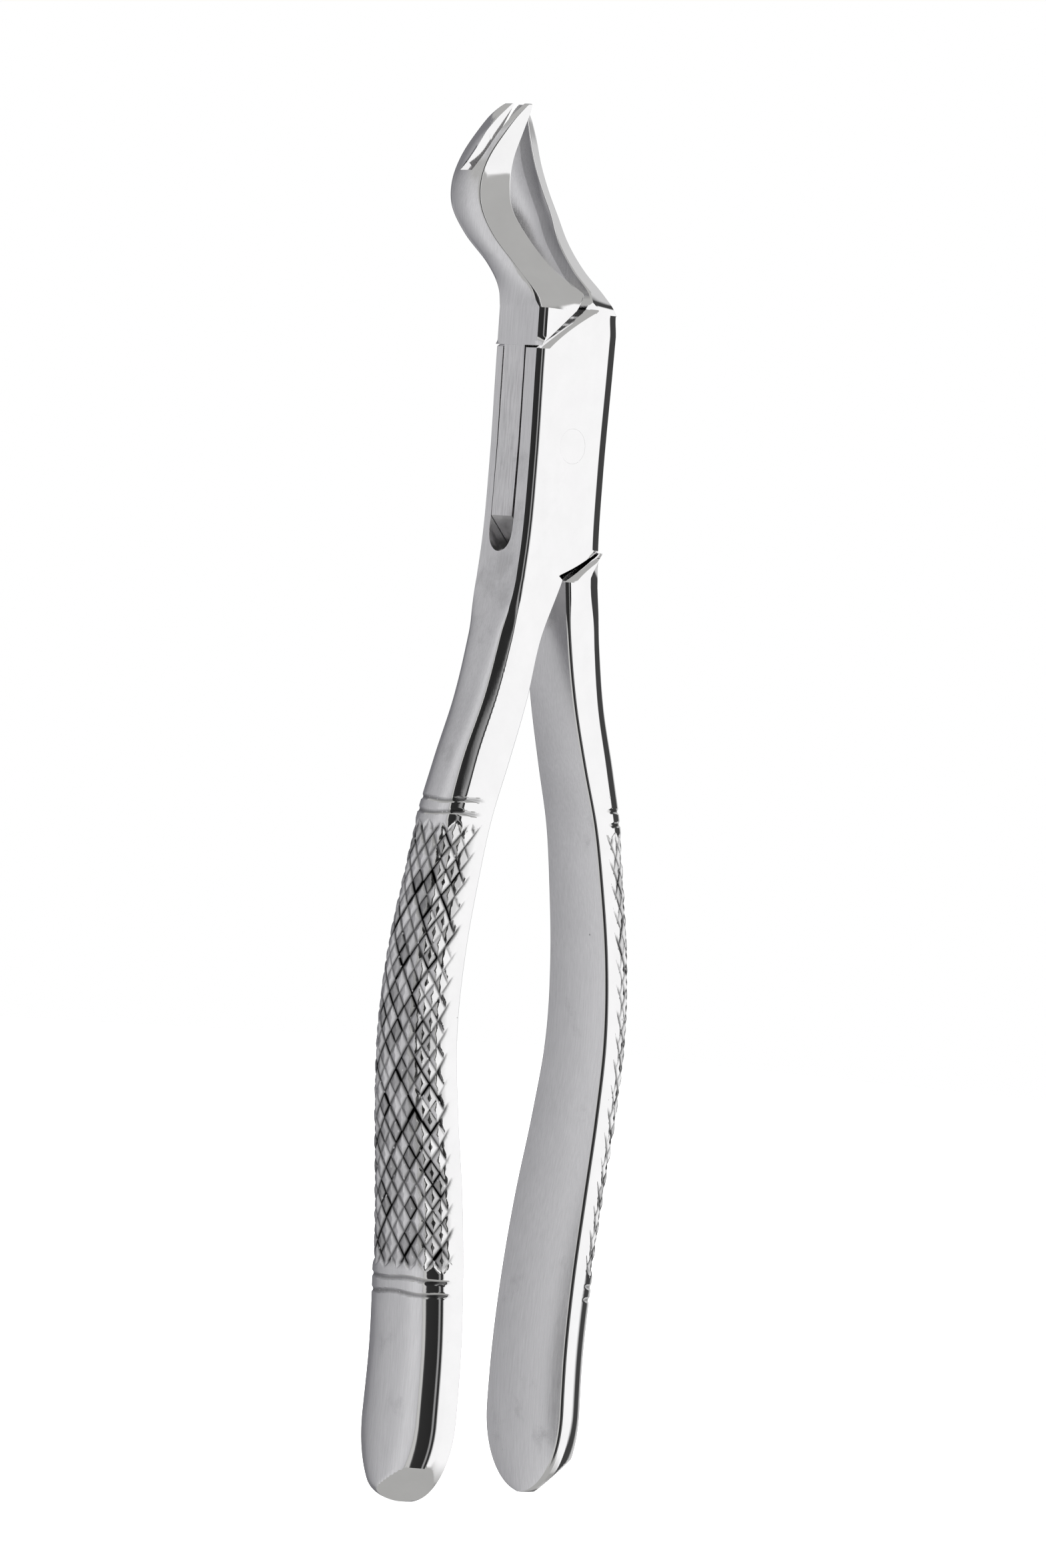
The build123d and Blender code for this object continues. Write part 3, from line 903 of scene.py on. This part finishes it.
def steel(name, satin=1.0, polish=0.018, bump=1.0, mottle=1.0):
    """Polished forged steel: mirror front faces, satin side and inner faces, fine wear. satin and
    polish set the roughness of the two, bump the relief and mottle the unevenness of the grey."""
    material = bpy.data.materials.new(name)
    material.use_nodes = True
    n = Nodes(material.node_tree)
    place = n.add("ShaderNodeTexCoord").outputs["Object"]
    facing = n.add("ShaderNodeSeparateXYZ")
    n.link(n.add("ShaderNodeNewGeometry").outputs["Normal"], facing.inputs[0])
    away = n.math("ABSOLUTE", facing.outputs[0])

    # satin finish where a face looks sideways: the joint's sides and the handles' inner flats
    sideways = n.smooth(away, 0.82, 0.94)
    cloud = n.noise(place, cloud_scale, 4, 0.6)
    grain = n.noise(place, grain_scale, 4, 0.65, along_z)
    speck = n.noise(place, speck_scale, 2, 0.5)
    fine = n.math("MULTIPLY", grain, 0.10)
    satin_rough = n.math("MULTIPLY_ADD", cloud, 0.10, n.math("ADD", fine, satin_level * satin))
    polish_rough = n.math("MULTIPLY_ADD", cloud, 0.035, polish)
    step = n.math("SUBTRACT", satin_rough, polish_rough)
    rough = n.math("ADD", n.math("MULTIPLY", sideways, step), polish_rough)

    # dull smudges, mostly on the satin faces
    smudge = n.smooth(n.noise(place, smudge_scale, 5, 0.65), 0.57, 0.72)
    smudge = n.math("MULTIPLY", smudge, n.math("MULTIPLY_ADD", sideways, 0.75, 0.10))
    rough = n.math("MULTIPLY_ADD", smudge, smudge_rough, rough, clamp=True)

    # fine scratches along and across
    scratch = n.noise(place, scratch_scale, 2, 0.5, scratch_stretch)
    nick = n.noise(place, nick_scale, 2, 0.5, nick_stretch)
    lines = n.math("ADD", n.smooth(scratch, 0.70, 0.76), n.smooth(nick, 0.76, 0.80))

    # pits
    cells = n.add("ShaderNodeTexVoronoi")
    n.link(place, cells.inputs["Vector"])
    cells.inputs["Scale"].default_value = pit_scale
    pit = n.smooth(cells.outputs["Distance"], 0.030, 0.012)

    # rougher, with painted shade darkening the grooves, the joint's gap and the box beak's inner
    # face, and painted reflection on the grip's flats
    dark = n.add("ShaderNodeAttribute", attribute_name="dark").outputs["Fac"]
    rough = n.math("MULTIPLY_ADD", dark, groove_rough, rough)
    level = n.math("MULTIPLY_ADD", smudge, -smudge_dull, steel_level)
    streak = n.math("MULTIPLY", sideways, 0.30 * mottle)
    level = n.math("MULTIPLY_ADD", n.math("SUBTRACT", grain, 0.5), streak, level)
    # painted shade and painted reflection from the dark attribute darken the colour
    level = n.math("MULTIPLY_ADD", dark, -painted_shade_strength, level)
    level = n.math("MULTIPLY_ADD", pit, -pit_dull, level)
    uneven = n.math("SUBTRACT", cloud, 0.5)
    level = n.math("MULTIPLY_ADD", uneven, 0.10 * mottle, level, clamp=True)
    colour = n.add("ShaderNodeCombineColor")
    n.link(level, colour.inputs[0])
    n.link(n.math("MULTIPLY", level, 0.995), colour.inputs[1])
    n.link(level, colour.inputs[2])

    height = n.math("MULTIPLY_ADD", lines, -0.25, n.math("MULTIPLY", pit, -1.6))
    height = n.math("MULTIPLY_ADD", speck, n.math("MULTIPLY_ADD", sideways, 0.22, 0.02), height)
    height = n.math("MULTIPLY_ADD", grain, n.math("MULTIPLY_ADD", sideways, 0.35, 0.03), height)
    relief = n.add("ShaderNodeBump")
    relief.inputs["Strength"].default_value = relief_strength * bump
    relief.inputs["Distance"].default_value = relief_height
    n.link(height, relief.inputs["Height"])

    shader = n.add("ShaderNodeBsdfPrincipled")
    shader.inputs["Metallic"].default_value = 1.0
    n.link(colour.outputs[0], shader.inputs["Base Color"])
    n.link(rough, shader.inputs["Roughness"])
    n.link(relief.outputs[0], shader.inputs["Normal"])
    output = n.add("ShaderNodeOutputMaterial")
    n.link(shader.outputs[0], output.inputs["Surface"])
    return material


def floor_material():
    """Pale floor with a glow of its own, so that it comes out near white."""
    material = bpy.data.materials.new("pale_floor")
    material.use_nodes = True
    n = Nodes(material.node_tree)
    place = n.add("ShaderNodeTexCoord").outputs["Object"]
    mottle = n.noise(place, floor_scale, 3)
    diffuse = n.add("ShaderNodeBsdfDiffuse")
    n.link(n.ramp(mottle, [(0.0, grey(0.86)), (1.0, grey(0.90))]), diffuse.inputs["Color"])
    glow = n.add("ShaderNodeEmission")
    glow.inputs["Strength"].default_value = floor_glow
    both = n.add("ShaderNodeAddShader")
    n.link(diffuse.outputs[0], both.inputs[0])
    n.link(glow.outputs[0], both.inputs[1])
    # the floor is greyer where polished steel reflects it
    grey_glow = n.add("ShaderNodeEmission")
    grey_glow.inputs["Strength"].default_value = floor_reflected_glow
    either = n.add("ShaderNodeMixShader")
    n.link(n.add("ShaderNodeLightPath").outputs["Is Glossy Ray"], either.inputs[0])
    n.link(both.outputs[0], either.inputs[1])
    n.link(grey_glow.outputs[0], either.inputs[2])
    output = n.add("ShaderNodeOutputMaterial")
    n.link(either.outputs[0], output.inputs["Surface"])
    return material


# ---- studio ----
view_azimuth = math.radians(-45)
camera_distance = 1.2
camera_lean = math.radians(4.6)
aim_offset = (0.0033, 0.0423)     # the picture's centre left of and below the pivot
field_height = 0.1959
sensor = 36.0

cool, warm = 0.012, -0.012
# what the tent shows at each angle round the camera: degrees to the right, grey level, tint
tent = [
    (-180, 0.16, cool), (-150, 0.19, cool), (-126, 0.21, cool), (-118, 0.31, cool),
    (-108, 0.34, cool), (-90, 0.46, cool), (-72, 0.64, cool), (-31.5, 0.52, cool),
    (-31, 0.16, 0), (-30, 0.16, 0), (-29.5, 0.50, warm), (-15, 0.56, warm), (-14, 0.03, 0),
    (2.0, 0.022, 0), (2.8, 0.30, 0), (4.2, 0.30, 0), (5.0, 0.022, 0), (9, 0.03, 0),
    (10.5, 0.97, 0), (122, 1.0, 0), (127, 0.05, 0), (141, 0.06, 0), (147, 0.60, 0),
    (165, 0.62, 0), (172, 0.20, 0), (180, 0.17, 0),
]
tent_turn = -78.0                 # degrees it turns for a view square on to the front or a side
opening_middle = -3.0             # the dark opening reaches up through the tent's top here
opening_half_width = 17.0
top_height, top_grey = (0.66, 0.69), 0.44
low_height, low_grey = (-0.55, -0.8), 0.42
plain_tint = -0.01

floor_half = 1500                 # mm
floor_thick = 4
light_aim = Vector((0, 0, -0.05))

to_camera = Vector((math.sin(view_azimuth), -math.cos(view_azimuth), 0))
sideways = Vector((-to_camera.y, to_camera.x, 0))


def studio_world():
    """Light tent that turns with the camera: grey on its left, a dark opening round the camera
    and white on its right, which is what polished steel shows. The camera sees it as white."""
    world = bpy.data.worlds.new("studio")
    bpy.context.scene.world = world
    world.use_nodes = True
    n = Nodes(world.node_tree)
    direction = n.add("ShaderNodeTexCoord").outputs["Generated"]

    def in_view(vector):
        turn = n.add("ShaderNodeVectorTransform", vector_type="VECTOR", convert_from="WORLD",
                     convert_to="CAMERA")
        n.link(vector, turn.inputs[0])
        parts = n.add("ShaderNodeSeparateXYZ")
        n.link(turn.outputs[0], parts.inputs[0])
        return parts.outputs

    ray = in_view(direction)
    # in this space the view looks along +Z, so the camera is towards -Z
    toward = n.math("MULTIPLY", ray[2], -1.0)
    angle = n.math("MULTIPLY", n.math("ARCTAN2", ray[0], toward), 180 / math.pi)
    home = n.math("MULTIPLY", in_view(tuple(to_camera))[2], -1.0)
    square = n.math("MULTIPLY", home, home)
    frontal = n.math("MULTIPLY", n.math("MULTIPLY", square, n.math("SUBTRACT", 1.0, square)), 4.0)
    angle = n.math("MULTIPLY_ADD", frontal, tent_turn, angle)
    angle = n.math("WRAP", angle, -180.0, 180.0)
    around = n.math("MULTIPLY_ADD", angle, 1 / 360, 0.5)
    stops = [(degrees / 360 + 0.5, grey(shade, tint)) for degrees, shade, tint in tent]
    level = n.ramp(around, stops)
    from_opening = n.math("ABSOLUTE", n.math("ADD", angle, -opening_middle))
    opening = n.math("LESS_THAN", from_opening, opening_half_width)
    top = n.math("MULTIPLY", n.smooth(ray[1], *top_height), n.math("SUBTRACT", 1.0, opening))
    level = n.mix(top, level, grey(top_grey, plain_tint))
    level = n.mix(n.smooth(ray[1], *low_height), level, grey(low_grey, plain_tint))
    seen = n.add("ShaderNodeLightPath").outputs["Is Camera Ray"]
    level = n.mix(seen, level, grey(1.0))
    shine = n.add("ShaderNodeBackground")
    n.link(level, shine.inputs["Color"])
    output = n.add("ShaderNodeOutputWorld")
    n.link(shine.outputs[0], output.inputs["Surface"])


def soft_light(name, place, size, power):
    """Area light aimed at the object, unseen in reflections. place and size are in metres."""
    data = bpy.data.lights.new(name, "AREA")
    data.size = size
    data.energy = power
    light = bpy.data.objects.new(name, data)
    light.location = place
    light.rotation_euler = (light_aim - Vector(place)).to_track_quat("-Z", "Y").to_euler()
    light.visible_glossy = False
    light.visible_camera = False
    bpy.context.scene.collection.objects.link(light)


def studio():
    """Floor, light tent, soft lights and the camera at the photograph's angle."""
    edge = [(-floor_half, -floor_thick), (floor_half, -floor_thick), (floor_half, 0),
            (-floor_half, 0)]
    ground = prism("floor", edge, -floor_half, floor_half)
    ground.location.z = box_end_z * MM
    ground.data.materials.append(floor_material())
    ground.visible_glossy = False
    studio_world()
    soft_light("left_softbox", (-0.9, -0.7, 0.9), 0.8, 14)
    soft_light("right_softbox", (0.9, -0.8, 0.9), 0.8, 14)
    soft_light("back_softbox", (0.2, 1.1, 1.0), 0.8, 10)
    data = bpy.data.cameras.new("view")
    data.sensor_fit = "VERTICAL"
    data.sensor_height = sensor
    data.lens = sensor * camera_distance / field_height
    data.clip_start = 0.01
    camera = bpy.data.objects.new("view", data)
    right = sideways * math.cos(camera_lean) + Vector((0, 0, 1)) * math.sin(camera_lean)
    up = Vector((0, 0, 1)) * math.cos(camera_lean) - sideways * math.sin(camera_lean)
    pivot = Vector((0, mid_y * MM, 0))
    aim = pivot - right * aim_offset[0] - up * aim_offset[1]
    turn = Matrix((right, up, to_camera)).transposed()
    camera.matrix_world = Matrix.Translation(aim + to_camera * camera_distance) @ turn.to_4x4()
    bpy.context.scene.collection.objects.link(camera)
    bpy.context.scene.camera = camera
    bpy.context.scene.view_settings.view_transform = "Standard"


# ---- the object ----
forged = steel("forged_steel_polished")
ground_steel = steel("forged_steel_ground", satin=2.6, polish=0.3, bump=2.0, mottle=2.5)
pin_steel = steel("pin_steel_ground")

place_piece(box_half_piece(), 24, "box_side", "box_half")
place_piece(tongue_half_piece(), 24, "tongue_side", "tongue_half")
place_piece(rivet_piece(), 30, "box_side", "pivot_pin")
studio()
